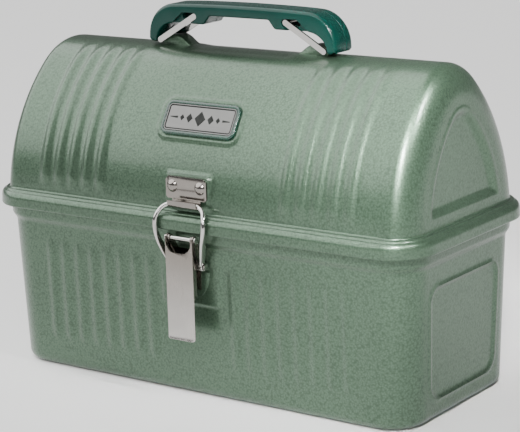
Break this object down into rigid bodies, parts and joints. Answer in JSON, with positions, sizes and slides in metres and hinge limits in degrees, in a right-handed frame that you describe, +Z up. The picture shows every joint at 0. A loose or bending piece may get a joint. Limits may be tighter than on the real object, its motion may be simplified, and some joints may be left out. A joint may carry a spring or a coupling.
{
  "type": "metal lunch box",
  "caption": "Green steel lunch box with a hinged domed lid, a draw latch, a folding carry handle and a wire bottle holder inside the lid.",
  "frame": {"origin": "centre of the flat base that the box stands on", "axes": "+X along the width to the right of a person facing the latch, -Y towards the latched front, +Z up"},
  "size_m": [0.324, 0.1597, 0.2362],
  "materials": {
    "painted_steel": "sage green hammertone enamel, satin gloss",
    "nickel": "bright nickel plate, lightly brushed",
    "zinc_steel": "zinc plated steel",
    "grip_plastic": "deep green moulded plastic, satin gloss",
    "badge_enamel": "dark green enamel with a thin silver line",
    "badge_steel": "brushed along its length"
  },
  "bodies": {
    "tub": {"lower_tub": "painted_steel", "hinge_leaf_tub_left": "painted_steel", "hinge_leaf_tub_right": "painted_steel", "hinge_pin_left": "zinc_steel", "hinge_pin_right": "zinc_steel", "hinge_rivets_tub": "zinc_steel", "latch_base": "nickel", "latch_base_rivets": "zinc_steel", "latch_pivot_pin": "nickel"},
    "lid": {"lid_shell": "painted_steel", "hinge_leaf_lid_left": "painted_steel", "hinge_leaf_lid_right": "painted_steel", "hinge_rivets_lid": "zinc_steel", "keeper_plate": "nickel", "keeper_rivets": "nickel", "badge_frame": "badge_enamel", "badge_plate": "badge_steel", "badge_studs": "zinc_steel", "handle_saddle_left": "painted_steel", "handle_saddle_right": "painted_steel", "retainer_clips": "zinc_steel", "retainer_catch": "zinc_steel", "retainer_rivets": "zinc_steel"},
    "lever": {"latch_lever": "nickel", "bail_pins": "nickel"},
    "bail": {"latch_bail": "nickel"},
    "handle": {"grip_front": "grip_plastic", "grip_rear": "grip_plastic", "grip_screws": "zinc_steel"},
    "link_left": {"handle_link_left": "nickel"},
    "link_right": {"handle_link_right": "nickel"},
    "retainer": {"bottle_retainer": "zinc_steel"}
  },
  "joints": [
    {"name": "lid_hinge", "type": "hinge", "parent": "tub", "child": "lid", "pos_m": [0, 0.0785, 0.107], "axis": [-1, 0, 0], "range_deg": [0, 105]},
    {"name": "lever_pivot", "type": "hinge", "parent": "tub", "child": "lever", "pos_m": [0, -0.075, 0.1028], "axis": [-1, 0, 0], "range_deg": [0, 115]},
    {"name": "bail_pivot", "type": "hinge", "parent": "lever", "child": "bail", "pos_m": [0, -0.0704, 0.0855], "axis": [-1, 0, 0], "range_deg": [-144, 0]},
    {"name": "handle_lift", "type": "slide", "parent": "lid", "child": "handle", "axis": [0, 0, 1], "range_m": [0, 0.009]},
    {"name": "link_left_pivot", "type": "hinge", "parent": "lid", "child": "link_left", "pos_m": [-0.0623, 0, 0.2116], "axis": [0, -1, 0], "range_deg": [0, 21.7]},
    {"name": "link_right_pivot", "type": "hinge", "parent": "lid", "child": "link_right", "pos_m": [0.0623, 0, 0.2116], "axis": [0, 1, 0], "range_deg": [0, 21.7]},
    {"name": "retainer_pivot", "type": "hinge", "parent": "lid", "child": "retainer", "pos_m": [0, 0.061, 0.1222], "axis": [1, 0, 0], "range_deg": [0, 75]}
  ],
  "couplings": [
    {"joint": "bail_pivot", "follows": "lever_pivot", "ratio": -1.25},
    {"joint": "link_left_pivot", "follows": "handle_lift", "rad_per_m": 41.9},
    {"joint": "link_right_pivot", "follows": "handle_lift", "rad_per_m": 41.9}
  ]
}
